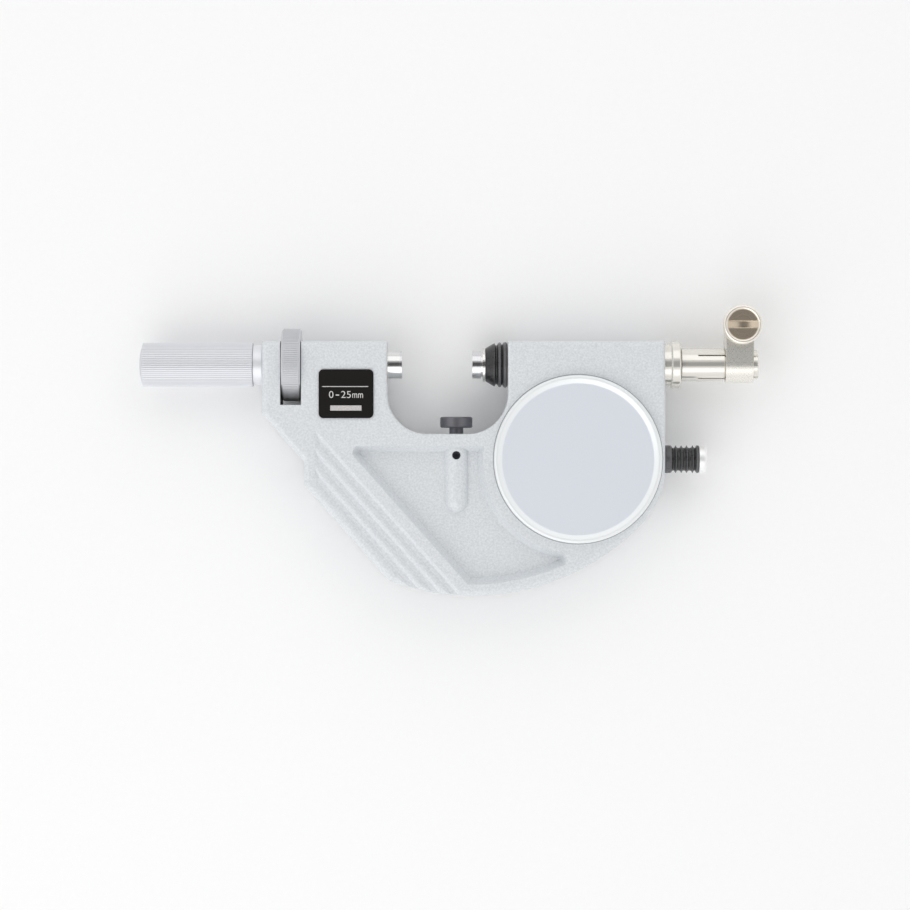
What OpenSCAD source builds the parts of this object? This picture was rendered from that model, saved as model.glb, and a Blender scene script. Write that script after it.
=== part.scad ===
// Indicating snap gauge: a cast frame with a throat between an adjustable spindle and a
// sprung anvil. A button draws the anvil back through a lever, a stop locates the work,
// and a slit holder at the right takes an indicator with an 8 mm stem.
// Millimetres. Origin at the centre of the round back pad, X along the measuring axis,
// Y up the gauge, Z out of the front face.

/* [Measuring line] */
// Length that the spindle can be adjusted
range_len = 25; // [20:1:26]
// Gap left between the faces when the spindle is fully forward
closing_gap = 0.05; // [0.05:0.05:0.5]
// Height of the measuring axis above the housing centre
axis_h = 33.7; // [33.4:0.1:35]
// Distance of the anvil face to the left of the housing centre
anvil_reach = 37.4; // [36.5:0.1:39]
// Diameter of the spindle and the anvil
spindle_d = 10; // [9:0.1:10.4]
// Travel of the anvil when the button is pressed
retraction = 2; // [1:0.1:2]

/* [Frame] */
// Thickness of the frame
frame_t = 20; // [19:0.5:21]
// Metal above the measuring axis
top_wall = 8.2; // [7.6:0.1:10]
// Length of the left arm from its outer end to the throat
arm_len = 44.4; // [43:0.1:50]
// Drop of the outline's upper knee below the measuring axis
knee_drop = 17.7; // [17:0.1:20]
// Inward step of the hand grip from the left end
grip_in = 15; // [12:0.1:17]
// Height of the short upright edge of the grip
grip_edge = 8.4; // [6:0.1:10]
// Slope of the arm and the grip below the horizontal
grip_slope = 48.3; // [46:0.1:50]
// Radius of the belly, drawn about a point above the anvil face
belly_r = 83.8; // [82:0.1:86]
// Rise of the belly's centre above the measuring axis
belly_rise = 1.6; // [0:0.1:3]
// Radius of the hollow between the arm and the grip
hollow_r = 3; // [1.5:0.1:5]
// Rounding of the outer edges
edge_r = 2; // [1:0.1:2.4]

/* [Housing] */
// Radius of the round housing, also the distance to the right face
housing_r = 31; // [30.5:0.1:33]
// Radius of the cavity for the lever
cavity_r = 26; // [25:0.1:26.5]
// Depth of the cavity behind the mid plane
cavity_back = 8; // [7:0.1:8.5]
// Distance of the back pad's foot from the rounded edge
pad_in = 0.2; // [0.1:0.1:3]
// Height of the pad above the back of the frame
pad_h = 3.5; // [3.2:0.1:5]
// Radius of the front cover
cover_r = 29.8; // [28.5:0.1:30.2]
// Height of the cover's rim above the frame
cover_h = 3; // [2:0.1:4]
// Sink of the cover's face below its rim
cover_sink = 0.7; // [0.3:0.1:1]
// Width of the cover's raised rim
rim_w = 3; // [2:0.1:4]

/* [Throat and pocket] */
// Length of spindle that stands out of the throat wall
spindle_out = 5.2; // [4:0.1:7]
// Distance from the anvil face to the right throat wall
anvil_out = 12.6; // [12.2:0.1:14]
// Depth of the throat below the measuring axis
throat_depth = 24.7; // [23.5:0.1:25]
// Corner radius of the throat
throat_r = 14.2; // [10:0.1:15]
// Rounding of the throat's edges
throat_edge = 1; // [0.5:0.1:1.5]
// Depth of the pockets in the front and the back
pocket_depth = 4.5; // [3:0.1:5]
// Distance from the throat's floor to the pocket's top edge
pocket_drop = 4.2; // [3.5:0.1:6]
// Width of the rim between the pocket and the belly
pocket_rim = 4.2; // [3.5:0.1:6]
// Width of the wall between the housing and the pocket
pocket_wall = 2.5; // [2:0.1:4]
// Radius of the pocket's pointed corners
pocket_tip_r = 2.5; // [2:0.1:3]

/* [Grip] */
// Width of the grip band, square to its slope
grip_band = 20; // [18:0.1:22]
// Pitch of the grooves
groove_pitch = 4.6; // [4.2:0.1:5]
// Number of grooves
groove_n = 3; // [1:1:3]
// Width of a groove
groove_w = 3.8; // [3:0.1:4]
// Depth of the grooves
groove_depth = 0.8; // [0.4:0.1:1.2]
// Distance of the first groove's middle from the grip's edge
groove_first = 5; // [4.5:0.1:5.5]
// Distance of the grooves' ends from the grip's upright edge
groove_in = 3.7; // [2:0.1:5]

/* [Adjusting ring and spindle] */
// Radius of the adjusting ring
ring_r = 12.9; // [12.4:0.1:13]
// Width of the adjusting ring
ring_w = 6.8; // [6:0.1:7.5]
// Number of teeth of the ring's straight knurl
ring_teeth = 110; // [60:2:120]
// Distance from the left end of the frame to the ring's slot
slot_in = 6.6; // [6:0.1:8]
// Room below the ring in its slot
slot_under = 1.5; // [1:0.1:3]
// Thickness of the hard tip of the spindle
spindle_tip_t = 0.7; // [0.5:0.1:2]
// Width of the spindle's key way
key_w = 2.4; // [2:0.1:2.6]
// Depth of the spindle's key way
key_depth = 1.5; // [1.2:0.1:2]
// Distance of the spindle's key from the throat wall
key_back = 16; // [14:0.5:20]

/* [Clamp sleeve] */
// Radius of the fluted sleeve
sleeve_r = 7.9; // [7.8:0.1:9]
// Length of the sleeve
sleeve_len = 40.7; // [36:0.1:44]
// Number of flutes
flute_n = 64; // [40:2:80]
// Depth of the flutes
flute_depth = 0.2; // [0.1:0.05:0.4]
// Height of the sleeve's domed end
dome_h = 1.4; // [0.8:0.1:2]
// Radius of the plain collar between the sleeve and the frame
collar_r = 7.1; // [6.8:0.1:7.6]
// Width of the collar
collar_w = 3.4; // [2.5:0.1:4]
// Length of the slit nose inside the sleeve
nose_len = 14; // [12:0.5:18]

/* [Anvil] */
// Length of the hard tip of the anvil
anvil_tip_t = 3.1; // [2:0.1:3.5]
// Radius of the metal ring in front of the bellows
lip_ring_r = 6.1; // [5.8:0.1:6.8]
// Outer radius of the bellows
bellows_r = 8.2; // [7.9:0.1:9]
// Radius of the anvil's tail
tail_r = 4; // [3.7:0.1:4.1]
// Outer radius of the guide bushes
bush_r = 6.5; // [6.3:0.1:6.7]
// Length of the front bush inside the frame
front_bush_len = 12; // [8:0.5:14]
// Length of the rear bush
rear_bush_len = 9; // [6:0.5:10]
// Distance of the rear bush from the right face
rear_bush_in = 5; // [4.5:0.1:6]
// Room for the anvil's spring
spring_len = 12; // [9:0.5:13]

/* [Lever and button] */
// Length of the lever's lower arm over its upper arm
lever_ratio = 2; // [1.8:0.05:2.1]
// Thickness of the lever
lever_t = 5; // [3:0.1:5.5]
// Radius of the lever's round tongue
tongue_r = 1.6; // [1.3:0.1:1.7]
// Radius of the button's cap and bellows
button_r = 5; // [4.9:0.1:5.6]
// Distance of the button's face from the right face
button_out = 15.2; // [14.6:0.1:17]
// Thickness of the button's cap
cap_t = 2.7; // [2.4:0.1:3.5]
// Radius of the button's rod
rod_r = 2.5; // [2.2:0.1:2.6]

/* [Stop] */
// Distance of the stop to the left of the anvil face
stop_in = 5.7; // [5:0.1:7]
// Radius of the stop's head
stop_head_r = 5.75; // [5:0.05:6]
// Thickness of the stop's head
stop_head_t = 3.9; // [3:0.1:4.5]
// Room between the stop's head and the throat's floor
stop_gap = 2.2; // [1:0.1:3]
// Lift of the stop above its rest place
stop_lift = 12; // [8:0.5:12]
// Radius of the stop's pin
stop_pin_r = 2.5; // [2:0.1:2.6]
// Radius of the rib around the stop's pin
rib_r = 4.2; // [3.8:0.1:4.6]
// Distance of the rib's round end below the pocket's top
rib_len = 23.9; // [22:0.1:26]

/* [Stem holder] */
// Radius of the indicator stem that the holder takes
stem_r = 4; // [3.9:0.1:4.1]
// Width of the holder's flange
flange_w = 5.8; // [5:0.1:7]
// Radius of the holder's flange
flange_r = 8.4; // [8:0.1:9]
// Radius of the holder's tube
tube_r = 5.9; // [5.7:0.1:6.4]
// Radius of the slit end under the clamp
collet_r = 5.3; // [5.1:0.1:5.5]
// Distance of the tube's mouth from the right face
holder_len = 33.5; // [32:0.1:36]
// Width of the slits
slit_w = 0.6; // [0.4:0.1:0.8]
// Length of the slits
slit_len = 21.5; // [18:0.1:22]
// Turn of the first slit from the front towards the top
slit_turn = 33; // [0:1:45]

/* [Clamp] */
// Width of the clamp along the tube
clamp_w = 9.8; // [9:0.1:10.5]
// Thickness of the clamp from front to back
clamp_t = 13; // [12.8:0.1:14]
// Distance of the clamp's outer side from the tube's mouth
clamp_in = 1.9; // [1:0.1:2]
// Height of the clamp screw above the measuring axis
clamp_rise = 14.1; // [13.5:0.1:16]
// Radius of the clamp screw's head
screw_head_r = 6.95; // [6:0.05:7.2]
// Shift of the clamp screw towards the tube's mouth
screw_out = 0.8; // [0:0.1:1]
// Height of the clamp screw's head
screw_head_h = 3.6; // [3:0.1:4.5]
// Width of the coin slot
coin_w = 2.4; // [2:0.1:3]

/* [Name plate] */
// Width of the name plate
plate_w = 19.4; // [17:0.1:21]
// Height of the name plate
plate_h = 17.3; // [15:0.1:19]
// Corner radius of the name plate
plate_r = 1.7; // [1:0.1:3]
// Thickness of the name plate
plate_t = 0.5; // [0.3:0.1:1]
// Drop of the plate's centre below the measuring axis
plate_drop = 10.5; // [10:0.1:12]
// Distance of the plate's centre from the left end of the frame
plate_in = 29.9; // [28.5:0.1:32]

/* [Fits] */
// Radial clearance of pieces that stay put
fit = 0.02; // [0.01:0.01:0.04]
// Radial clearance of pieces that slide or turn
run = 0.04; // [0.02:0.01:0.08]
// Clearance between flat faces that move past each other
face_gap = 0.1; // [0.05:0.05:0.2]
// Side clearance of the adjusting ring in its slot
slot_gap = 0.25; // [0.15:0.05:0.4]

/* [Hidden] */
$fn = 96;
over = 1;
far = 60;
edge_steps = 5;
// Overlap of a round past its tangent points
lap = 0.02;
half_t = frame_t / 2;
rest_depth = half_t + pad_h;
pad_foot_r = housing_r - edge_r - pad_in;
spindle_r = spindle_d / 2;

// Places along the measuring axis
anvil_x = -anvil_reach;
spindle_x = anvil_x - range_len - closing_gap;
throat_left = spindle_x - spindle_out;
throat_right = anvil_x + anvil_out;
throat_floor = axis_h - throat_depth;
frame_left = throat_left - arm_len;
frame_right = housing_r;
frame_top = axis_h + top_wall;

// Corners of the outline, anticlockwise from the top right
slope = [cos(grip_slope), -sin(grip_slope)];
grip_x = frame_left + grip_in;
knee = [frame_left, axis_h - knee_drop];
grip_top = knee + slope * grip_in / slope.x;
grip_low = grip_top - [0, grip_edge];
hollow_len = hollow_r * tan((90 - grip_slope) / 2);
hollow_arm = grip_top - slope * hollow_len;
hollow_grip = grip_top - [0, hollow_len];
hollow = hollow_grip - [hollow_r, 0];
belly = [anvil_x, axis_h + belly_rise];
blend_r = housing_r;
blend_reach = belly_r - blend_r;
blend = [frame_right - blend_r, belly.y - sqrt(pow(blend_reach, 2) - pow(belly.x, 2))];
belly_left = grip_low + slope * along_to_circle(grip_low, slope, belly, belly_r);
below = grip_low + slope * far * 1.5;
belly_right = belly + unit(blend - belly) * belly_r;
right_low = [frame_right, blend.y];
right_top = [frame_right, frame_top];
left_top = [frame_left, frame_top];

// Pocket
pocket_top = throat_floor - pocket_drop;
pocket_housing_r = housing_r + pocket_wall;
pocket_belly_r = belly_r - pocket_rim;
grip_normal = [-slope.y, slope.x];
band_point = grip_low + grip_normal * grip_band;
pocket_floor = half_t - pocket_depth;
pocket_run = pocket_tip_r - 0.4;
groove_floor = groove_w * 0.4;
tip_right = meet(
    [0, 0], pocket_housing_r + pocket_tip_r,
    belly, pocket_belly_r - pocket_tip_r);
band_inner = band_point + grip_normal * pocket_tip_r;
tip_left_y = pocket_top - pocket_tip_r;
tip_left = [band_inner.x + (tip_left_y - band_inner.y) * slope.x / slope.y, tip_left_y];

// Adjusting ring, spindle and its clamp
slot_left = frame_left + slot_in;
slot_w = ring_w + 2 * slot_gap;
slot_right = slot_left + slot_w;
slot_floor = axis_h - ring_r - slot_under;
ring_left = slot_left + slot_gap;
ring_chamfer = 0.6;
knurl_depth = 0.2;
spindle_tail = slot_left - range_len - 1.5;
guide_left = slot_right + 3;
key_x = throat_left - key_back;
key_r = key_w / 2 - face_gap;
key_screw_r = 2;
key_neck = bush_r + 0.3;
key_top = spindle_r - key_depth + face_gap;
key_sink = 1;
collar_left = frame_left - collar_w;
sleeve_right = collar_left - face_gap;
sleeve_left = sleeve_right - sleeve_len;
dome_r = (pow(sleeve_r, 2) + pow(dome_h, 2)) / (2 * dome_h);
sleeve_end = 3;
nose_r = spindle_r + 1.4;
nose_left = collar_left - nose_len;
nose_slits = 3;
nose_slit_w = 0.8;
nose_slit_len = nose_len - 4;
sleeve_bore_r = spindle_r + 0.6;
collet_right = slot_left - 0.8;

// Anvil
lip_groove = 0.6;
lip_ring_left = anvil_x + anvil_tip_t + lip_groove;
lip_ring_t = 0.8;
bellows_left = lip_ring_left + lip_ring_t + face_gap;
bellows_wall = 0.7;
bellows_seat = 1.8;
bush_front_right = throat_right + front_bush_len;
bush_rear_right = frame_right - rear_bush_in;
bush_rear_left = bush_rear_right - rear_bush_len;
tail_shoulder = bush_rear_left - spring_len;
retainer_t = 1;
retainer_left = bush_rear_right + face_gap;
retainer_depth = 0.5;
retainer_r = tail_r + 1.2;
spring_room_r = 5.75;
anvil_end = frame_right + flange_w - 1;
retainer_room = retainer_left + retainer_t + retraction + 2.9;
anvil_wire = 0.9;
anvil_turns = 5;

// Lever and button
tongue_in = 1.3;
tongue_y = axis_h - spindle_r + tongue_in;
pivot_y = tongue_y * lever_ratio / (1 + lever_ratio);
notch_gap = 0.1;
notch_head = 0.4;
tongue_neck = tongue_r - 0.4;
hub_r = 4;
pivot_r = 2;
pivot_head_r = 3.6;
pivot_head_t = 2;
pivot_depth = 3;
window_w = 11;
window_top = lever_t / 2 + 0.5;
lever_tip_r = 2.5;
post_top = -lever_t / 2 - face_gap;
button_x = frame_right + button_out;
cap_left = button_x - cap_t;
cap_round = 1;
cap_hole = 1.4;
button_bush_r = rod_r + 1.5;
button_bush_left = cavity_r - 2;
button_bush_right = frame_right + 2;
rod_left = lever_tip_r + face_gap;
clip_t = 1;
clip_left = button_bush_left - face_gap - clip_t;
clip_depth = 0.5;
clip_r = rod_r + 1.4;
button_wire = 0.6;
button_turns = 5;
collar_len = 2.5;

// Stop
stop_x = anvil_x - stop_in;
stop_head_y = throat_floor + stop_gap;
stop_drop = stop_gap - 0.2;
stop_screw_y = pocket_top - 3.4;
stop_screw_r = 1.45;
stop_screw_len = 4;
stop_end = stop_screw_y - stop_screw_r - 1 - stop_lift;
rib_z = pocket_floor - 1;
rib_end = pocket_top - rib_len + rib_r;

// Stem holder and clamp
spigot_left = bush_rear_right + 0.4;
holder_end = frame_right + holder_len;
flange_right = frame_right + flange_w;
flange_step = frame_right + 2.4;
flange_step_r = flange_r - 0.8;
flange_chamfer = 0.5;
undercut_w = 0.4;
undercut_r = stem_r + 1.2;
clamp_right = holder_end - clamp_in;
clamp_left = clamp_right - clamp_w;
clamp_x = (clamp_left + clamp_right) / 2;
tube_right = clamp_left - face_gap;
tail_room_r = tail_r + 0.4;
stem_stop_t = 1;
stem_stop = anvil_end + retraction + 1.2 + stem_stop_t;
stem_stop_r = stem_r - 0.6;
mouth_chamfer = 0.4;
clamp_slit = 1.6;
screw_x = clamp_x + screw_out;
screw_y = axis_h + clamp_rise;
screw_r = 2.5;
screw_end = -clamp_t / 2 + 0.6;
head_round = 0.8;
dish_r = screw_head_r - head_round * (1 + cos(30));
dish_depth = head_round / 2;
coin_depth = 1.6;
coin_r = (pow(dish_r, 2) + pow(coin_depth, 2)) / (2 * coin_depth);

// Cover
spigot_h = 4;
spigot_wall = 3;
seal_r = 0.75;
seal_z = half_t - spigot_h / 2;
seal_half = seal_r + face_gap;
cover_back = half_t - spigot_h;

// Geometry functions

function unit(v) = v / norm(v);

// Distance from a point along a direction to the far side of a circle
function along_to_circle(p, d, c, r) =
    let (b = d * (p - c), k = (p - c) * (p - c) - r * r)
    -b + sqrt(b * b - k);

// Lower meeting point of two circles, to the right of the line from the first to the second
function meet(c1, r1, c2, r2) =
    let (
        d = norm(c2 - c1),
        a = (d * d + r1 * r1 - r2 * r2) / (2 * d),
        h = sqrt(r1 * r1 - a * a),
        u = (c2 - c1) / d)
    c1 + u * a + [-u.y, u.x] * h;

// Points of a quarter round of radius r, from angle a to angle b about c
function quarter(c, r, a, b, n = 4) =
    [for (i = [0 : n]) c + r * [cos(a + (b - a) * i / n), sin(a + (b - a) * i / n)]];

// Shared shapes

// The gauge is drawn about its mid plane and stands on its back pad
module on_pad() {
    translate([0, 0, rest_depth]) children();
}

module rod_x(x0, x1, r, y) {
    translate([x0, y, 0]) rotate([0, 90, 0]) cylinder(h = x1 - x0, r = r);
}

module rod_y(y0, y1, r, x, z = 0) {
    translate([x, y0, z]) rotate([-90, 0, 0]) cylinder(h = y1 - y0, r = r);
}

module rod_z(z0, z1, r, at) {
    translate([at.x, at.y, z0]) cylinder(h = z1 - z0, r = r);
}

// A turned piece about a line along X, from points of [x, radius]
module turned_x(points, y) {
    translate([0, y, 0]) rotate([0, 90, 0]) rotate_extrude()
        polygon([for (p = points) [p[1], p[0]]]);
}

// A tube about a line along X
module tube_x(x0, x1, outer, inner, y) {
    turned_x([[x0, inner], [x1, inner], [x1, outer], [x0, outer]], y);
}

// A straight-fluted bar about a line along X
module fluted_x(x0, x1, r, depth, n, y) {
    step = 360 / n;
    points = [for (i = [0 : n - 1], k = [[-0.36, 0], [0.28, 0], [0.36, depth], [0.56, depth]])
        (r - k[1]) * [cos((i + k[0]) * step), sin((i + k[0]) * step)]];
    translate([x0, y, 0]) rotate([0, 90, 0]) linear_extrude(x1 - x0) polygon(points);
}

// A wire coil about a line along X, between two flat seats
module coil_x(x0, x1, r, wire, turns, y, sides = 8, per_turn = 16) {
    rings = turns * per_turn;
    lead = x1 - x0 - wire;
    points = [for (i = [0 : rings], k = [0 : sides - 1])
        let (
            a = 360 * i / per_turn,
            b = 360 * k / sides,
            q = r + wire / 2 * cos(b))
        [x0 + wire / 2 + lead * i / rings + wire / 2 * sin(b), y + q * cos(a), q * sin(a)]];
    walls = [for (i = [0 : rings - 1], k = [0 : sides - 1])
        let (n = (k + 1) % sides)
        [i * sides + k, i * sides + n, (i + 1) * sides + n, (i + 1) * sides + k]];
    caps = [[for (k = [sides - 1 : -1 : 0]) k], [for (k = [0 : sides - 1]) rings * sides + k]];
    polyhedron(points, concat(walls, caps));
}

// What is cut off a corner beyond its round about c, which meets the sides at p and q
module corner_trim(c, r, p, q) {
    away = unit(p + q - 2 * c) * far / 3;
    side_p = c + (p - c) * 1.3;
    side_q = c + (q - c) * 1.3;
    difference() {
        polygon([side_p, c, side_q, side_q + away, side_p + away]);
        translate(c) circle(r + lap);
    }
}

// What a rounded edge takes off, outward along x and upward along y
module edge_profile(r, side = 1) {
    polygon(concat(
        [for (p = quarter([-r, -r], r, 0, 90, edge_steps)) [side * p.x, p.y]],
        [[-side * r, over], [side * over, over], [side * over, -r]]));
}

// Rounds a straight front edge from p to q, with the metal on the left
module round_line(p, q, r, run_in = 0, run_out = 0) {
    d = unit(q - p);
    end = q + d * run_out;
    translate([end.x, end.y, half_t]) rotate([90, 0, atan2(d.y, d.x) - 90])
        linear_extrude(norm(q - p) + run_in + run_out) edge_profile(r);
}

// Rounds a front edge on an arc about c; side is 1 outside the arc and -1 inside it
module round_arc(c, arc_r, a0, a1, r, side = 1) {
    translate([c.x, c.y, half_t]) rotate([0, 0, a0]) rotate_extrude(angle = a1 - a0)
        translate([arc_r, 0]) edge_profile(r, side);
}

module both_faces() {
    children();
    mirror([0, 0, 1]) children();
}

// Frame

module frame_outline() {
    difference() {
        intersection() {
            polygon([right_top, left_top, knee, hollow_arm, hollow_grip, grip_low, below,
                [frame_right, below.y]]);
            translate(belly) circle(belly_r);
        }
        translate(hollow) circle(hollow_r + lap);
        corner_trim(blend, blend_r, belly_right, right_low);
    }
}

module throat_outline() {
    low = throat_floor + throat_r;
    translate([throat_left, low]) square([throat_right - throat_left, frame_top - low + over]);
    translate([throat_left + throat_r, throat_floor])
        square([throat_right - throat_left - 2 * throat_r, throat_depth]);
    translate([throat_left + throat_r, low]) circle(throat_r);
    translate([throat_right - throat_r, low]) circle(throat_r);
}

// A cone about c that has radius r at the pocket's edge and narrows towards its floor
module pocket_cone(c, r, side = 1) {
    below = over / 2;
    slant = side * pocket_run / pocket_depth;
    translate([c.x, c.y, pocket_floor - below])
        cylinder(
            h = pocket_depth + below + 2 * over,
            r1 = r - slant * (pocket_depth + below),
            r2 = r + slant * 2 * over);
}

// All to the right of a line through p along d, with a sloped wall and a floor at depth low
module pocket_side(p, d, low) {
    slant = pocket_run / pocket_depth;
    end = p + d * far * 2;
    translate([end.x, end.y, 0]) rotate([90, 0, atan2(d.y, d.x) - 90]) linear_extrude(far * 4)
        polygon([[slant * (half_t - low), low], [-slant * over, half_t + over],
            [far * 3, half_t + over], [far * 3, low]]);
}

// What is left in a pointed corner of the pocket beyond its round about c
module pocket_tip(c, p, q) {
    away = unit(p + q - 2 * c) * far / 3;
    side_p = c + (p - c) * 1.3;
    side_q = c + (q - c) * 1.3;
    difference() {
        translate([0, 0, pocket_floor - over / 4]) linear_extrude(pocket_depth + over * 2)
            polygon([side_p, c, side_q, side_q + away, side_p + away]);
        pocket_cone(c, pocket_tip_r + 10 * lap);
    }
}

module pocket_cut() {
    difference() {
        intersection() {
            pocket_cone(belly, pocket_belly_r);
            pocket_side(band_point, -slope, pocket_floor - over / 4);
            pocket_side([0, pocket_top], [1, 0], pocket_floor);
        }
        pocket_cone([0, 0], pocket_housing_r, -1);
        pocket_tip(
            tip_right,
            unit(tip_right) * pocket_housing_r,
            belly + unit(tip_right - belly) * pocket_belly_r);
        pocket_tip(
            tip_left,
            [tip_left.x, pocket_top],
            tip_left - grip_normal * pocket_tip_r);
        translate([0, -far * 2, pocket_floor - over]) cube([far * 2, far * 4, far]);
    }
}

// One groove with sloped sides, at a distance from the grip's edge
module groove(distance) {
    rise = 10 * lap;
    wide = groove_floor / 2 + (groove_w - groove_floor) / 2 * (1 + rise / groove_depth);
    start = grip_low + grip_normal * distance - slope * far;
    translate([start.x, start.y, half_t]) rotate([90, 0, 90 - grip_slope])
        linear_extrude(far * 2.5)
            polygon([[-groove_floor / 2, -groove_depth], [groove_floor / 2, -groove_depth],
                [wide, rise], [-wide, rise]]);
}

// The grooves run out at the belly and end in a slope near the grip's upright edge
module grip_grooves() {
    low = groove_depth + over;
    intersection() {
        union() {
            for (i = [0 : groove_n - 1]) groove(groove_first + i * groove_pitch);
        }
        translate([grip_x + groove_in, far / 4, half_t]) rotate([90, 0, 0])
            linear_extrude(far * 1.75)
                polygon([[-1.5 * over, over], [1.5 * low, -low], [far, -low], [far, over]]);
    }
}

// The outer edges and the throat's edges on one face
module frame_edges() {
    low = throat_floor + throat_r;
    angle_left = atan2(belly_left.y - belly.y, belly_left.x - belly.x);
    angle_right = atan2(belly_right.y - belly.y, belly_right.x - belly.x);
    past = 5 * lap;
    round_line(right_top, left_top, edge_r, over, over);
    round_line(left_top, knee, edge_r, over);
    round_line(knee, hollow_arm, edge_r, over, past);
    round_arc(hollow, hollow_r + lap, 0, 90 - grip_slope, edge_r, -1);
    round_line(hollow_grip, grip_low, edge_r, past, over);
    round_line(grip_low, belly_left, edge_r, over, over);
    round_arc(belly, belly_r, angle_left - 1, angle_right + 0.4, edge_r);
    round_arc(blend, blend_r + lap, angle_right, 0, edge_r);
    round_line(right_low, right_top, edge_r, past, over);
    round_line([throat_right, frame_top], [throat_right, low], throat_edge, over);
    round_arc([throat_right - throat_r, low], throat_r, -90, 0, throat_edge, -1);
    round_line([throat_right - throat_r, throat_floor], [throat_left + throat_r, throat_floor],
        throat_edge);
    round_arc([throat_left + throat_r, low], throat_r, -180, -90, throat_edge, -1);
    round_line([throat_left, low], [throat_left, frame_top], throat_edge, 0, over);
}

// The half-round rib that carries the stop, left standing in the front pocket
module stop_rib() {
    rod_y(rib_end, pocket_top + over, rib_r, stop_x, rib_z);
    translate([stop_x, rib_end, rib_z]) sphere(rib_r);
}

module frame_bores() {
    rod_x(frame_left - over, collet_right + over, bush_r + fit, axis_h);
    rod_x(collet_right, guide_left + over, spindle_r + 0.5, axis_h);
    rod_x(guide_left, throat_left + over, bush_r + fit, axis_h);
    rod_x(throat_right - over, bush_front_right, bush_r + fit, axis_h);
    rod_x(bush_front_right - over, bush_rear_left + over, spring_room_r, axis_h);
    rod_x(bush_rear_left, frame_right + over, bush_r + fit, axis_h);
    rod_x(button_bush_left - over, frame_right + over, button_bush_r + fit, 0);
    rod_y(stop_end - stop_drop - 0.6, throat_floor + over, stop_pin_r + run, stop_x);
    rod_z(0, half_t, stop_screw_r + fit, [stop_x, stop_screw_y]);
    rod_z(-half_t - over, -spindle_r, key_screw_r + fit, [key_x, axis_h]);
    rod_z(-cavity_back - pivot_depth - 0.5, 0, pivot_r + fit, [0, pivot_y]);
}

module frame_casting() {
    color("gainsboro") difference() {
        union() {
            difference() {
                translate([0, 0, -half_t]) linear_extrude(frame_t) difference() {
                    frame_outline();
                    throat_outline();
                }
                both_faces() {
                    frame_edges();
                    grip_grooves();
                    pocket_cut();
                }
            }
            stop_rib();
            translate([0, 0, -rest_depth]) cylinder(h = pad_h + 1, r1 = pad_foot_r - 1, r2 = pad_foot_r);
        }
        difference() {
            rod_z(-cavity_back, half_t + over, cavity_r, [0, 0]);
            rod_z(-cavity_back - over, post_top, hub_r, [0, pivot_y]);
        }
        translate([slot_left, slot_floor, -rest_depth])
            cube([slot_w, frame_top - slot_floor + over, 2 * rest_depth]);
        translate([-window_w / 2, pivot_y, post_top])
            cube([window_w, axis_h - pivot_y, window_top - post_top]);
        frame_bores();
    }
}

module name_plate() {
    inner = [plate_w - 2 * plate_r, plate_h - 2 * plate_r];
    color("#1d1a1a") translate([frame_left + plate_in, axis_h - plate_drop, half_t])
        linear_extrude(plate_t) {
            square([plate_w, inner.y], center = true);
            square([inner.x, plate_h], center = true);
            for (x = [-1, 1], y = [-1, 1])
                translate([x * inner.x / 2, y * inner.y / 2]) circle(plate_r);
        }
}

// A pressed cover: a rounded rim, a sunk face and a hollow spigot in the cavity
module front_cover() {
    top = half_t + cover_h;
    face = top - cover_sink;
    rim = rim_w * 0.3;
    rim_top = 0.4;
    outer = cavity_r - run;
    inner = outer - spigot_wall;
    groove_r = cavity_r - 2 * seal_half;
    color("lightsteelblue") rotate_extrude() polygon(concat(
        [[0, half_t], [inner, half_t], [inner, cover_back], [outer, cover_back],
            [outer, seal_z - seal_half], [groove_r, seal_z - seal_half],
            [groove_r, seal_z + seal_half], [outer, seal_z + seal_half],
            [outer, half_t], [cover_r, half_t]],
        quarter([cover_r - rim, top - rim], rim, 0, 90),
        [[cover_r - rim - rim_top, top], [cover_r - rim_w, face], [0, face]]));
}

// Seal ring in the groove of the cover's spigot
module cover_seal() {
    color("#202020") translate([0, 0, seal_z]) rotate_extrude()
        translate([cavity_r - seal_r - run, 0]) circle(seal_r, $fn = 24);
}

// Spindle and its clamp

module spindle() {
    body_x = spindle_x - spindle_tip_t;
    color("silver") difference() {
        turned_x([[spindle_tail, 0], [spindle_tail, spindle_r - 0.5],
            [spindle_tail + 0.5, spindle_r], [body_x, spindle_r], [body_x, 0]], axis_h);
        translate([key_x - range_len - key_w, axis_h - key_w / 2, -spindle_r - over])
            cube([range_len + key_w * 1.5, key_w, key_depth + over]);
    }
}

module spindle_tip() {
    color("slategray") rod_x(spindle_x - spindle_tip_t, spindle_x, spindle_r, axis_h);
}

module spindle_bush() {
    color("darkkhaki") difference() {
        tube_x(guide_left, throat_left, bush_r, spindle_r + run, axis_h);
        rod_z(-bush_r - over, 0, key_r + run, [key_x, axis_h]);
    }
}

// Dog-point screw from the back: its point keeps the spindle from turning
module spindle_key() {
    head = -half_t + key_sink;
    color("dimgray") difference() {
        union() {
            rod_z(head, -key_neck, key_screw_r, [key_x, axis_h]);
            rod_z(-key_neck - over, -key_top, key_r, [key_x, axis_h]);
        }
        translate([key_x - key_screw_r, axis_h - 0.3, head - over])
            cube([2 * key_screw_r, 0.6, over + 0.9]);
    }
}

module adjusting_ring() {
    right = ring_left + ring_w;
    low = ring_r - ring_chamfer;
    rise = ring_chamfer + lap;
    color("#b4b7ba") difference() {
        intersection() {
            fluted_x(ring_left, right, ring_r, knurl_depth, ring_teeth, axis_h);
            turned_x([[ring_left, 0], [ring_left, low], [ring_left + rise, low + rise],
                [right - rise, low + rise], [right, low], [right, 0]], axis_h);
        }
        rod_x(ring_left - over, right + over, spindle_r + run, axis_h);
    }
}

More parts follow.
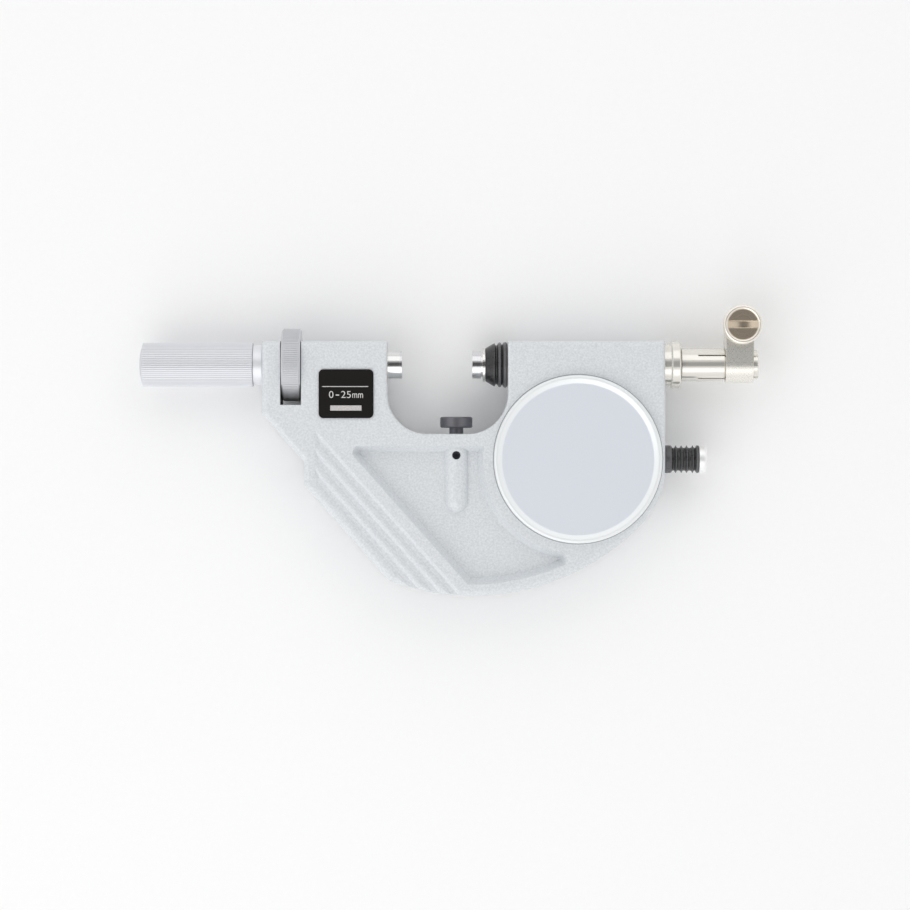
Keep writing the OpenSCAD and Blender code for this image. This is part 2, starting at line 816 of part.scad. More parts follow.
// Screwed into the frame's end: a collar and a slit nose that grips the spindle
module clamp_collet() {
    color("silver") difference() {
        turned_x([[nose_left, spindle_r + run], [collet_right, spindle_r + run],
            [collet_right, bush_r], [frame_left, bush_r], [frame_left, collar_r - 0.3],
            [frame_left - 0.3, collar_r], [collar_left, collar_r], [collar_left, nose_r],
            [nose_left + 0.8, nose_r], [nose_left, nose_r - 0.8]], axis_h);
        for (i = [0 : nose_slits - 1])
            translate([nose_left - over, axis_h, 0]) rotate([i * 360 / nose_slits, 0, 0])
                translate([0, 0, -nose_slit_w / 2]) cube([nose_slit_len + over, far, nose_slit_w]);
    }
}

module clamp_sleeve() {
    inner_end = sleeve_left + sleeve_end;
    step = nose_left - 1;
    high = sleeve_r + lap;
    dome = quarter([sleeve_left + dome_r, 0], dome_r, 180, 180 - asin(high / dome_r), 8);
    color("#bfc3c8") difference() {
        intersection() {
            fluted_x(sleeve_left, sleeve_right, sleeve_r, flute_depth, flute_n, axis_h);
            turned_x(concat(dome, [[sleeve_right - 0.3, high], [sleeve_right, high - 0.3],
                [sleeve_right, 0]]), axis_h);
        }
        turned_x([[inner_end, 0], [inner_end, sleeve_bore_r], [step, sleeve_bore_r],
            [step, nose_r + run], [sleeve_right + over, nose_r + run],
            [sleeve_right + over, 0]], axis_h);
    }
}

// Anvil

module anvil_tip() {
    color("slategray") rod_x(anvil_x, anvil_x + anvil_tip_t, spindle_r, axis_h);
}

module anvil_shaft() {
    start = anvil_x + anvil_tip_t;
    groove_r = spindle_r - 0.6;
    clip_right = retainer_left + retainer_t;
    notch_half = tongue_r + notch_gap;
    color("silver") difference() {
        turned_x([[start, 0], [start, groove_r], [lip_ring_left, groove_r],
            [lip_ring_left, spindle_r], [tail_shoulder, spindle_r], [tail_shoulder, tail_r],
            [retainer_left, tail_r], [retainer_left, tail_r - retainer_depth],
            [clip_right, tail_r - retainer_depth], [clip_right, tail_r],
            [anvil_end - 0.5, tail_r], [anvil_end, tail_r - 0.5], [anvil_end, 0]], axis_h);
        translate([-notch_half, axis_h - spindle_r - over, -spindle_r])
            cube([2 * notch_half, over + tongue_in + tongue_r + notch_head, 2 * spindle_r]);
    }
}

module bellows_ring() {
    color("lightgray")
        tube_x(lip_ring_left, lip_ring_left + lip_ring_t, lip_ring_r, spindle_r + fit, axis_h);
}

// Rubber bellows between the ring and the throat's wall: a cone and two folds
module anvil_bellows() {
    right = throat_right - face_gap;
    len = right - bellows_left;
    front = spindle_r + run;
    seat = bush_r + fit;
    crest = bellows_r;
    valley = seat + 0.6;
    color("#262626") turned_x([
        [bellows_left, front], [bellows_left, front + 0.8], [bellows_left + 0.12 * len, front + 1],
        [bellows_left + 0.42 * len, crest - 0.5], [bellows_left + 0.47 * len, crest - 0.4],
        [bellows_left + 0.53 * len, valley], [bellows_left + 0.6 * len, valley],
        [bellows_left + 0.67 * len, crest - 0.1], [bellows_left + 0.73 * len, crest],
        [bellows_left + 0.8 * len, valley + 0.1], [bellows_left + 0.84 * len, valley + 0.1],
        [bellows_left + 0.9 * len, crest], [right, crest - 0.2], [right, seat],
        [bellows_left + 0.53 * len, seat], [bellows_left + 0.46 * len, crest - 1.1],
        [bellows_left + 0.16 * len, front + 0.3], [bellows_left + 0.16 * len, front]], axis_h);
}

module front_bush() {
    color("darkkhaki")
        tube_x(throat_right - bellows_seat, bush_front_right, bush_r, spindle_r + run, axis_h);
}

module rear_bush() {
    color("darkkhaki") tube_x(bush_rear_left, bush_rear_right, bush_r, tail_r + run, axis_h);
}

module anvil_spring() {
    color("gray") coil_x(tail_shoulder + face_gap, bush_rear_left - face_gap,
        (tail_r + spring_room_r) / 2, anvil_wire, anvil_turns, axis_h);
}

module anvil_retainer() {
    color("dimgray") tube_x(retainer_left + fit, retainer_left + retainer_t - fit, retainer_r,
        tail_r - retainer_depth + fit, axis_h);
}

// Lever and button

module lever() {
    arm = 2.6;
    tip_arm = 1.8;
    color("gray") difference() {
        translate([0, 0, -lever_t / 2]) linear_extrude(lever_t) {
            translate([0, pivot_y]) circle(hub_r);
            translate([0, tongue_y]) circle(tongue_r);
            circle(lever_tip_r);
            polygon([[-arm, pivot_y], [arm, pivot_y], [tongue_neck, tongue_y],
                [-tongue_neck, tongue_y]]);
            polygon([[-tip_arm, 0], [tip_arm, 0], [arm, pivot_y], [-arm, pivot_y]]);
        }
        rod_z(-lever_t, lever_t, pivot_r + run, [0, pivot_y]);
    }
}

// Shoulder screw in the cavity's floor
module lever_pivot() {
    head = lever_t / 2 + face_gap;
    color("silver") difference() {
        union() {
            rod_z(-cavity_back - pivot_depth, head + over, pivot_r, [0, pivot_y]);
            rod_z(head, head + pivot_head_t, pivot_head_r, [0, pivot_y]);
        }
        translate([-far, pivot_y - 0.4, head + pivot_head_t - 1]) cube([2 * far, 0.8, 2]);
    }
}

module button_rod() {
    neck = rod_r - clip_depth;
    end = cap_left + cap_hole;
    color("silver") turned_x([[rod_left, 0], [rod_left, rod_r], [clip_left, rod_r],
        [clip_left, neck], [clip_left + clip_t, neck], [clip_left + clip_t, rod_r],
        [end, rod_r], [end, 0]], 0);
}

module button_cap() {
    hole = rod_r + fit;
    edge = quarter([button_x - cap_round, button_r - cap_round], cap_round, 90, 0);
    color("#d8d8d4") turned_x(concat(
        [[cap_left, hole], [cap_left, button_r]], edge,
        [[button_x, 0], [cap_left + cap_hole + fit, 0], [cap_left + cap_hole + fit, hole]]), 0);
}

// Rubber bellows of the button: a plain collar on the bush, then five folds
module button_bellows() {
    left = frame_right + face_gap;
    right = cap_left - face_gap;
    folds = 5;
    start = left + collar_len;
    pitch = (right - start) / folds;
    valley = button_r - 0.9;
    inner = valley - 0.5;
    seat = button_bush_r + fit;
    color("#262626") turned_x(concat(
        [[left, seat], [left, button_r], [start, button_r]],
        [for (i = [0 : folds - 1], k = [[0.15, valley], [0.35, valley], [0.65, button_r],
            [0.85, button_r]]) [start + (i + k[0]) * pitch, k[1]]],
        [[right, button_r - 0.4], [right, inner], [button_bush_right + face_gap, inner],
            [button_bush_right + face_gap, seat]]), 0);
}

module button_bush() {
    color("darkkhaki") tube_x(button_bush_left, button_bush_right, button_bush_r, rod_r + run, 0);
}

module button_spring() {
    color("gray") coil_x(button_bush_right + face_gap, cap_left - face_gap,
        rod_r + button_wire / 2 + 0.2, button_wire, button_turns, 0);
}

module button_clip() {
    color("dimgray") tube_x(clip_left + fit, clip_left + clip_t - fit, clip_r,
        rod_r - clip_depth + fit, 0);
}

// Stop

module stop_pin() {
    edge = 0.4;
    top = stop_head_y + stop_head_t;
    color("#4b4f57") translate([stop_x, 0, 0]) rotate([-90, 0, 0]) rotate_extrude()
        polygon([[0, stop_end], [stop_pin_r - edge, stop_end], [stop_pin_r, stop_end + edge],
            [stop_pin_r, stop_head_y], [stop_head_r - edge, stop_head_y],
            [stop_head_r, stop_head_y + edge], [stop_head_r, top - edge],
            [stop_head_r - edge, top], [0, top]]);
}

module stop_screw() {
    low = stop_pin_r + face_gap;
    color("dimgray") difference() {
        rod_z(low, low + stop_screw_len, stop_screw_r, [stop_x, stop_screw_y]);
        translate([stop_x, stop_screw_y, low + stop_screw_len - 1.5])
            cylinder(h = 3, r = 0.85, $fn = 6);
    }
}

// Stem holder and its clamp

module stem_holder() {
    step = tube_right;
    color("#c9c6bb") difference() {
        turned_x([
            [spigot_left, retainer_r + 0.3], [spigot_left, bush_r], [frame_right, bush_r],
            [frame_right, flange_step_r], [flange_step, flange_step_r],
            [flange_step, flange_r - flange_chamfer], [flange_step + flange_chamfer, flange_r],
            [flange_right - flange_chamfer, flange_r],
            [flange_right, flange_r - flange_chamfer], [flange_right, undercut_r],
            [flange_right + undercut_w, undercut_r], [flange_right + undercut_w, tube_r],
            [step - 0.4, tube_r], [step, tube_r - 0.4], [step, collet_r],
            [holder_end - mouth_chamfer, collet_r], [holder_end, collet_r - mouth_chamfer],
            [holder_end, stem_r + mouth_chamfer], [holder_end - mouth_chamfer, stem_r],
            [stem_stop, stem_r], [stem_stop, stem_stop_r],
            [stem_stop - stem_stop_t, stem_stop_r], [stem_stop - stem_stop_t, tail_room_r],
            [retainer_room, tail_room_r], [retainer_room, retainer_r + 0.3]], axis_h);
        for (i = [0 : 3])
            translate([holder_end - slit_len, axis_h, 0])
                rotate([90 * i - slit_turn, 0, 0]) translate([0, -slit_w / 2, 0])
                    cube([slit_len + over, slit_w, far]);
    }
}

// Slit clamp: a ring about the tube with two ears
module clamp_block() {
    ring = clamp_t / 2;
    color("#c9c6bb") difference() {
        union() {
            rod_x(clamp_left, clamp_right, ring, axis_h);
            translate([clamp_left, axis_h, -ring]) cube([clamp_w, clamp_rise, clamp_t]);
            rod_z(-ring, ring, clamp_w / 2, [clamp_x, screw_y]);
        }
        rod_x(clamp_left - over, clamp_right + over, collet_r + run, axis_h);
        translate([clamp_left - over, axis_h, -clamp_slit / 2])
            cube([clamp_w + 2 * over, far, clamp_slit]);
        rod_z(-ring - over, ring + over, screw_r + run, [screw_x, screw_y]);
    }
}

// Clamp screw: a dished head with a round rim and a coin slot cut by a disc
module clamp_screw() {
    low = clamp_t / 2 + face_gap;
    top = low + screw_head_h;
    color("#d2cfc4") translate([screw_x, screw_y, 0]) difference() {
        rotate_extrude() polygon(concat(
            [[0, screw_end], [screw_r - 0.4, screw_end], [screw_r, screw_end + 0.4],
                [screw_r, low], [screw_head_r - 0.4, low], [screw_head_r, low + 0.4]],
            quarter([screw_head_r - head_round, top - head_round], head_round, 0, 150, 8),
            [[0, top - dish_depth]]));
        rod_y(-coin_w / 2, coin_w / 2, coin_r, 0, top - dish_depth - coin_depth + coin_r);
    }
}

on_pad() frame_casting();
on_pad() name_plate();
on_pad() front_cover();
on_pad() cover_seal();
on_pad() spindle();
on_pad() spindle_tip();
on_pad() spindle_bush();
on_pad() spindle_key();
on_pad() adjusting_ring();
on_pad() clamp_collet();
on_pad() clamp_sleeve();
on_pad() anvil_shaft();
on_pad() anvil_tip();
on_pad() bellows_ring();
on_pad() anvil_bellows();
on_pad() front_bush();
on_pad() rear_bush();
on_pad() anvil_spring();
on_pad() anvil_retainer();
on_pad() lever();
on_pad() lever_pivot();
on_pad() button_rod();
on_pad() button_cap();
on_pad() button_bellows();
on_pad() button_bush();
on_pad() button_spring();
on_pad() button_clip();
on_pad() stop_pin();
on_pad() stop_screw();
on_pad() stem_holder();
on_pad() clamp_block();
on_pad() clamp_screw();
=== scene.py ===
"""Dresses the snap gauge: finishes for its solids, rubber bellows, wire springs and the plate's print."""

import logging
import math
from collections.abc import Sequence
from dataclasses import dataclass, field
from enum import Enum

import bmesh
import bpy
from mathutils import Euler, Matrix, Vector


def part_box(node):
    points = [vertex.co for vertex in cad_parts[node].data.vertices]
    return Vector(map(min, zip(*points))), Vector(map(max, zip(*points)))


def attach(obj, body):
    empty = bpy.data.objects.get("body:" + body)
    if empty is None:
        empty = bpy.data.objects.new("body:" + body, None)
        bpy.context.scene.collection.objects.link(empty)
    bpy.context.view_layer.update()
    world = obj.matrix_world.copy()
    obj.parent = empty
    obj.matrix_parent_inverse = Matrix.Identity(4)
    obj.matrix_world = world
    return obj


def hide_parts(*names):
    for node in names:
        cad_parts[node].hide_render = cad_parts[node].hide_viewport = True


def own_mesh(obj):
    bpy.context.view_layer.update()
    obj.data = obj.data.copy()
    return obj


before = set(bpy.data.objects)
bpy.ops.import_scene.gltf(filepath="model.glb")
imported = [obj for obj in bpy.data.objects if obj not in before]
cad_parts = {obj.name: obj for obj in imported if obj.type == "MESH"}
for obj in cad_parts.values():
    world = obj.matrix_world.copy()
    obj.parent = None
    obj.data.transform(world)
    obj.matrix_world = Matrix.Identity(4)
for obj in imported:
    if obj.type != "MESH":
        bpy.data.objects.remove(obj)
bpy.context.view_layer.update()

LOG = logging.getLogger("snap_gauge")

# Lengths are in metres, colours are linear, and a Share is left, low, right and top from 0 to 1.
MM = 0.001
Color = tuple[float, float, float]
Point = tuple[float, float, float]
Pair = tuple[float, float]
Share = tuple[float, float, float, float]
Node = bpy.types.Node
Material = bpy.types.Material
Shape = bmesh.types.BMesh


class Axis(Enum):
    """The line that a piece was turned about, with the turn that lays it along X."""

    X = (0.0, 0.0, 0.0)
    Y = (0.0, 0.0, -math.pi / 2)
    Z = (0.0, math.pi / 2, 0.0)


class End(Enum):
    """The end of a soft piece that stays where it is when the piece is pressed."""

    LEFT = "left"
    RIGHT = "right"


class Way(Enum):
    """How a place on a round piece is measured: along its axis, or outward from it."""

    ALONG = "along"
    OUTWARD = "outward"


def corners(node: str) -> tuple[Vector, Vector]:
    """The low and the high corner of a solid's box."""
    low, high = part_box(node)
    return Vector(low), Vector(high)


def middle(node: str) -> Vector:
    """The middle of a solid's box."""
    low, high = corners(node)
    return (low + high) / 2


def half(node: str) -> Vector:
    """Half of a solid's size in each direction, which across a round solid is its radius."""
    low, high = corners(node)
    return (high - low) / 2


def object_of(name: str, shape: Shape, material: Material) -> bpy.types.Object:
    """Makes an object of a finished shape.

    Args:
        name: The object's name.
        shape: Its shape in place, which is freed.
        material: Its finish.

    Returns:
        The new object, at the origin.
    """
    mesh = bpy.data.meshes.new(name)
    shape.to_mesh(mesh)
    shape.free()
    mesh.materials.append(material)
    made = bpy.data.objects.new(name, mesh)
    bpy.context.scene.collection.objects.link(made)
    return made


def piece_of(name: str, shape: Shape, material: Material, smooth: bool) -> bpy.types.Object:
    """Makes a piece of the gauge that rides on its frame.

    Args:
        name: The piece's name.
        shape: Its shape in place, which is freed.
        material: Its finish.
        smooth: Whether its faces are shaded as one curved surface.

    Returns:
        The new piece.
    """
    bmesh.ops.remove_doubles(shape, verts=shape.verts, dist=1e-7)
    bmesh.ops.recalc_face_normals(shape, faces=shape.faces)
    for face in shape.faces:
        face.smooth = smooth
    piece = object_of(name, shape, material)
    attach(piece, "frame")
    LOG.info("%s: new piece, %d faces, %s", name, len(piece.data.polygons), material.name)
    return piece


def coat(node: str, material: Material) -> None:
    """Gives a solid its finish.

    Args:
        node: The solid's name.
        material: Its finish.
    """
    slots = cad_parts[node].data.materials
    slots.clear()
    slots.append(material)
    LOG.info("%s: %s", node, material.name)


class NodeSheet:
    """A new material and its node tree, with short calls to add and join nodes."""

    def __init__(self, name: str) -> None:
        """Starts a tree with one shader.

        Args:
            name: The material's name.
        """
        self.material = bpy.data.materials.new(name)
        self.material.use_nodes = True
        self.tree = self.material.node_tree
        self.tree.nodes.clear()
        self.shader = self.add("ShaderNodeBsdfPrincipled")
        self.join(self.shader, "BSDF", self.add("ShaderNodeOutputMaterial"), "Surface")

    def add(self, kind: str, **settings: object) -> Node:
        """Adds a node.

        Args:
            kind: The node's type.
            settings: The node's own properties.

        Returns:
            The new node.
        """
        node = self.tree.nodes.new(kind)
        for key, value in settings.items():
            setattr(node, key, value)
        return node

    def join(self, source: Node, output: str, target: Node, socket: str | int) -> None:
        """Links an output of one node to an input of another."""
        self.tree.links.new(source.outputs[output], target.inputs[socket])

    def constants(self, **values: float) -> None:
        """Sets the shader's sockets that are the same all over, named with _ for a space."""
        for key, value in values.items():
            self.shader.inputs[key.replace("_", " ")].default_value = value

    def place(
        self, centre: Sequence[float] = (0.0, 0.0, 0.0), axis: Axis = Axis.X,
        stretch: Point = (1.0, 1.0, 1.0),
    ) -> Node:
        """Object coordinates, centred on a piece and turned so that its axis is X.

        Args:
            centre: The point that becomes the origin.
            axis: The axis that becomes X.
            stretch: Scale of each coordinate.

        Returns:
            The Mapping node.
        """
        mapping = self.add("ShaderNodeMapping", vector_type="POINT")
        turn = Euler(axis.value)
        scaled = Vector(a * b for a, b in zip(centre, stretch))
        mapping.inputs["Location"].default_value = -(turn.to_matrix() @ scaled)
        mapping.inputs["Rotation"].default_value = turn
        mapping.inputs["Scale"].default_value = stretch
        self.join(self.add("ShaderNodeTexCoord"), "Object", mapping, "Vector")
        return mapping

    def parts(self, place: Node) -> Node:
        """Splits coordinates into X, Y and Z.

        Args:
            place: The coordinates.

        Returns:
            The node that gives each one.
        """
        node = self.add("ShaderNodeSeparateXYZ")
        self.join(place, "Vector", node, "Vector")
        return node

    def reach(self, place: Node) -> Node:
        """Distance from the X axis.

        Args:
            place: Coordinates with the axis along X.

        Returns:
            The node that gives it as its value.
        """
        across = self.add("ShaderNodeVectorMath", operation="MULTIPLY")
        across.inputs[1].default_value = (0.0, 1.0, 1.0)
        length = self.add("ShaderNodeVectorMath", operation="LENGTH")
        self.join(place, "Vector", across, 0)
        self.join(across, "Vector", length, 0)
        return length

    def near(self, source: Node, output: str, at: float, within: float) -> Node:
        """A mask that is 1 where a measure is close to a value.

        Args:
            source: The node that measures.
            output: Its output.
            at: The value.
            within: The largest distance from it.

        Returns:
            The node that gives the mask as its value.
        """
        mask = self.add("ShaderNodeMath", operation="COMPARE")
        mask.inputs[1].default_value = at
        mask.inputs[2].default_value = within
        self.join(source, output, mask, 0)
        return mask

    def rescale(self, source: Node, output: str, taken: Pair, given: Pair = (0.0, 1.0)) -> Node:
        """Lays one span of values on another.

        Args:
            source: The node that gives the values.
            output: Its output.
            taken: The first and last value of its span.
            given: The values that they become.

        Returns:
            The node that gives them as its result.
        """
        span = self.add("ShaderNodeMapRange")
        names = ("From Min", "From Max", "To Min", "To Max")
        for name, value in zip(names, (*taken, *given)):
            span.inputs[name].default_value = value
        self.join(source, output, span, "Value")
        return span

    def noise(self, place: Node, size: float, detail: float = 2.0) -> Node:
        """Soft mottling.

        Args:
            place: The coordinates that it lies on.
            size: Size of its marks in metres.
            detail: How many layers of finer marks it has.

        Returns:
            The noise node.
        """
        node = self.add("ShaderNodeTexNoise", noise_dimensions="3D")
        node.inputs["Scale"].default_value = 1 / size
        node.inputs["Detail"].default_value = detail
        self.join(place, "Vector", node, "Vector")
        return node

    def pebbles(self, place: Node, size: float, smoothness: float = 0.7) -> Node:
        """Rounded cells.

        Args:
            place: The coordinates that they lie on.
            size: Size of a cell in metres.
            smoothness: How far the cells run into each other.

        Returns:
            The cell node.
        """
        node = self.add("ShaderNodeTexVoronoi", feature="SMOOTH_F1")
        node.inputs["Scale"].default_value = 1 / size
        node.inputs["Smoothness"].default_value = smoothness
        self.join(place, "Vector", node, "Vector")
        return node

    def tool_marks(self, place: Node, pitch: float, detail: float = 3.0) -> Node:
        """Rings that a tool leaves about X, on the round sides and on the flat ends.

        Args:
            place: Coordinates with the axis along X.
            pitch: Distance between the rings in metres.
            detail: How many layers of finer rings there are.

        Returns:
            A noise node that follows the tool's path.
        """
        path = self.add("ShaderNodeMath", operation="ADD")
        rings = self.add("ShaderNodeTexNoise", noise_dimensions="1D")
        rings.inputs["Scale"].default_value = 1 / pitch
        rings.inputs["Detail"].default_value = detail
        self.join(self.parts(place), "X", path, 0)
        self.join(self.reach(place), "Value", path, 1)
        self.join(path, "Value", rings, "W")
        return rings

    def tint(self, source: Node, output: str, low: Color, high: Color, span: Pair = (0.3, 0.7)) -> None:
        """Colours the shader between two tones of a pattern.

        Args:
            source: The pattern.
            output: The pattern's output.
            low: Colour at the pattern's low end.
            high: Colour at the pattern's high end.
            span: Values of the pattern at the two ends.
        """
        ramp = self.add("ShaderNodeValToRGB")
        for end, position, color in zip(ramp.color_ramp.elements, span, (low, high)):
            end.position = position
            end.color = (*color, 1.0)
        self.join(source, output, ramp, "Fac")
        self.join(ramp, "Color", self.shader, "Base Color")

    def patch(self, mask: Node, output: str, color: Color) -> None:
        """Gives the shader another colour where a mask is 1.

        Args:
            mask: The node that gives the mask.
            output: The mask's output.
            color: The colour there.
        """
        base = self.shader.inputs["Base Color"]
        mix = self.add("ShaderNodeMixRGB")
        mix.inputs["Color2"].default_value = (*color, 1.0)
        self.tree.links.new(base.links[0].from_socket, mix.inputs["Color1"])
        self.join(mask, output, mix, "Fac")
        self.join(mix, "Color", self.shader, "Base Color")

    def gloss(self, source: Node, output: str, roughness: Pair, span: Pair = (0.25, 0.75)) -> None:
        """Varies the shader's roughness with a pattern, between two values."""
        self.join(self.rescale(source, output, span, roughness), "Result", self.shader, "Roughness")

    def raise_by(self, source: Node, output: str, depth: float, edge: float = 0.0) -> None:
        """Lifts the surface by a pattern and softens its edges.

        Args:
            source: The pattern.
            output: The pattern's output.
            depth: Height of the pattern in metres.
            edge: Radius in metres that sharp edges seem to have.
        """
        bump = self.add("ShaderNodeBump")
        bump.inputs["Distance"].default_value = depth
        self.join(source, output, bump, "Height")
        if edge:
            soft = self.add("ShaderNodeBevel", samples=6)
            soft.inputs["Radius"].default_value = edge
            self.join(soft, "Normal", bump, "Normal")
        self.join(bump, "Normal", self.shader, "Normal")


@dataclass(frozen=True)
class Rim:
    """Another tone on a round piece, here always a painted highlight, from one radius about its axis to
    full strength at a second one.
    """

    start: float
    full: float
    tone: Color
    centre: Vector
    axis: Axis

    def paint(self, sheet: NodeSheet) -> None:
        """Paints the highlight on the outer part of a piece."""
        reach = sheet.reach(sheet.place(self.centre, self.axis))
        sheet.patch(sheet.rescale(reach, "Value", (self.start, self.full)), "Result", self.tone)


@dataclass(frozen=True)
class Seam:
    """A thin dark line painted round a piece as shadow, at one radius about its axis or at one place
    along it.
    """

    way: Way
    at: float
    half_width: float
    tone: Color
    centre: Vector
    axis: Axis

    def paint(self, sheet: NodeSheet) -> None:
        """Paints the shadow line.

        Args:
            sheet: The piece's material.
        """
        place = sheet.place(self.centre, self.axis)
        if self.way is Way.OUTWARD:
            line = sheet.near(sheet.reach(place), "Value", self.at, self.half_width)
        else:
            line = sheet.near(sheet.parts(place), "X", self.at, self.half_width)
        sheet.patch(line, "Value", self.tone)


@dataclass(frozen=True)
class Recess:
    """A slot cut down into a casting along Y, whose walls are painted near-black as shade."""

    middle: float
    half_width: float
    bottom: float
    tone: Color

    def paint(self, sheet: NodeSheet) -> None:
        """Paints shade on the slot's walls.

        Args:
            sheet: The casting's material.
        """
        parts = sheet.parts(sheet.place())
        across = sheet.near(parts, "X", self.middle, self.half_width)
        above = sheet.add("ShaderNodeMath", operation="GREATER_THAN")
        above.inputs[1].default_value = self.bottom
        both = sheet.add("ShaderNodeMath", operation="MULTIPLY")
        sheet.join(parts, "Y", above, 0)
        sheet.join(across, "Value", both, 0)
        sheet.join(above, "Value", both, 1)
        sheet.patch(both, "Value", self.tone)


@dataclass(frozen=True)
class Enamel:
    """Enamel sprayed on a casting: small pebbles with a soft gloss."""

    name: str
    pale: Color
    shade: Color
    roughness: Pair
    pebble: float
    relief: float
    edge: float
    metallic: float
    speckle_share: float = 0.9
    speckle_detail: float = 3.0
    pebble_weight: float = 0.6
    specular: float = 0.45

    def material(self, recess: Recess, seam: Seam) -> Material:
        """Makes the enamel's material.

        Args:
            recess: The slot whose walls get painted shade instead of enamel.
            seam: The painted shadow line at the joint round the cover.

        Returns:
            The material.
        """
        sheet = NodeSheet(self.name)
        place = sheet.place()
        pebbles = sheet.pebbles(place, self.pebble)
        speckle = sheet.noise(place, self.pebble * self.speckle_share, self.speckle_detail)
        height = sheet.add("ShaderNodeMath", operation="MULTIPLY_ADD")
        height.inputs[1].default_value = self.pebble_weight
        sheet.join(pebbles, "Distance", height, 0)
        sheet.join(speckle, "Fac", height, 2)
        sheet.constants(Metallic=self.metallic, Specular_IOR_Level=self.specular)
        sheet.tint(speckle, "Fac", self.shade, self.pale)
        # Painted shade on the walls of the ring slot.
        recess.paint(sheet)
        # Painted shadow: a dark line at the joint round the cover.
        seam.paint(sheet)
        sheet.gloss(speckle, "Fac", self.roughness)
        sheet.raise_by(height, "Value", self.relief, self.edge)
        return sheet.material


@dataclass(frozen=True)
class Turned:
    """Metal turned or ground about an axis, with the tool's fine rings."""

    bright: Color
    dull: Color
    roughness: Pair
    pitch: float
    relief: float = 0.0012 * MM
    edge: float = 0.1 * MM
    metallic: float = 1.0

    def material(
        self, name: str, node: str, axis: Axis = Axis.X, mark: Rim | Seam | None = None,
    ) -> Material:
        """Makes the metal's material about a solid's own middle line.

        Args:
            name: The material's name.
            node: The solid whose middle the axis runs through.
            axis: The axis's direction.
            mark: A painted highlight at the piece's border, or a painted shadow line round it.

        Returns:
            The material.
        """
        sheet = NodeSheet(name)
        rings = sheet.tool_marks(sheet.place(middle(node), axis), self.pitch)
        sheet.constants(Metallic=self.metallic)
        sheet.tint(rings, "Fac", self.dull, self.bright)
        if mark:
            mark.paint(sheet)
        sheet.gloss(rings, "Fac", self.roughness)
        sheet.raise_by(rings, "Fac", self.relief, self.edge)
        return sheet.material


@dataclass(frozen=True)
class Satin:
    """A flat satin surface with a fine grain that may run along one direction."""

    name: str
    pale: Color
    shade: Color
    roughness: Pair
    grain: float
    relief: float
    stretch: Point = (1.0, 1.0, 1.0)
    metallic: float = 1.0
    edge: float = 0.15 * MM
    specular: float = 0.5
    detail: float = 4.0

    def material(self, rim: Rim | None = None) -> Material:
        """Makes the satin material.

        Args:
            rim: A painted highlight at the border of a round piece.

        Returns:
            The material.
        """
        sheet = NodeSheet(self.name)
        grain = sheet.noise(sheet.place(stretch=self.stretch), self.grain, self.detail)
        sheet.constants(Metallic=self.metallic, Specular_IOR_Level=self.specular)
        sheet.tint(grain, "Fac", self.shade, self.pale)
        if rim:
            rim.paint(sheet)
        sheet.gloss(grain, "Fac", self.roughness)
        sheet.raise_by(grain, "Fac", self.relief, self.edge)
        return sheet.material


@dataclass(frozen=True)
class Rubber:
    """Black moulded rubber with a faint bloom on it, and a paler tone painted on the crests of its folds
    as highlight.
    """

    name: str
    black: Color
    bloom: Color
    crest_highlight: Color
    roughness: Pair
    grain: float
    relief: float
    bloom_grains: float = 8.0
    bloom_detail: float = 4.0
    specular: float = 0.55

    def material(self, crests: Pair, node: str) -> Material:
        """Makes the rubber's material.

        Args:
            crests: Shares of the outer radius where the painted crest highlight starts and is full.
            node: The round solid along X whose radius counts.

        Returns:
            The material.
        """
        start, full = (share * half(node).z for share in crests)
        sheet = NodeSheet(self.name)
        place = sheet.place()
        cloud = sheet.noise(place, self.grain * self.bloom_grains, self.bloom_detail)
        skin = sheet.noise(place, self.grain)
        sheet.constants(Metallic=0.0, Specular_IOR_Level=self.specular)
        sheet.tint(cloud, "Fac", self.black, self.bloom)
        # Painted highlight: a paler tone on the crests of the folds.
        Rim(start, full, self.crest_highlight, middle(node), Axis.X).paint(sheet)
        sheet.gloss(cloud, "Fac", self.roughness)
        sheet.raise_by(skin, "Fac", self.relief)
        return sheet.material


@dataclass
class Palette:
    """The finishes that several sub-assemblies share."""

    # The rubber's crest tone is a painted highlight on the crests of its folds.
    rubber: Rubber = Rubber(
        "bellows_rubber", black=(0.014, 0.014, 0.015), bloom=(0.03, 0.03, 0.032),
        crest_highlight=(0.1, 0.1, 0.105), roughness=(0.24, 0.36), grain=0.12 * MM, relief=0.003 * MM)
    nickel: Satin = Satin(
        "clamp_nickel", pale=(0.88, 0.86, 0.8), shade=(0.84, 0.82, 0.76), roughness=(0.26, 0.3),
        grain=0.08 * MM, relief=0.0002 * MM, stretch=(1.0, 0.12, 1.0), metallic=0.7)
    blackened: Satin = Satin(
        "blackened_steel", pale=(0.085, 0.09, 0.105), shade=(0.06, 0.064, 0.076), roughness=(0.3, 0.45),
        grain=0.3 * MM, relief=0.002 * MM, metallic=0.8)
    bronze: Turned = Turned(
        bright=(0.6, 0.45, 0.25), dull=(0.5, 0.37, 0.2), roughness=(0.25, 0.4), pitch=0.15 * MM)
    wire: Turned = Turned(
        bright=(0.46, 0.46, 0.47), dull=(0.38, 0.38, 0.39), roughness=(0.25, 0.4), pitch=0.3 * MM)
    made: dict[str, Material] = field(default_factory=dict)

    def plain(self, finish: Satin) -> Material:
        """The one material of a finish that several solids have.

        Args:
            finish: The finish.

        Returns:
            Its material, which is made at the first call.
        """
        if finish.name not in self.made:
            self.made[finish.name] = finish.material()
        return self.made[finish.name]


@dataclass
class SoftPiece:
    """A new piece in the place of a plain solid."""

    node: str
    joint: str
    fixed: End

    def fit(self, piece: bpy.types.Object, slot: str) -> None:
        """Hides the solid and gives the piece a mesh of its own.

        Args:
            piece: The new piece.
            slot: The material slot of the solid; not used.
        """
        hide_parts(self.node)
        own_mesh(piece)


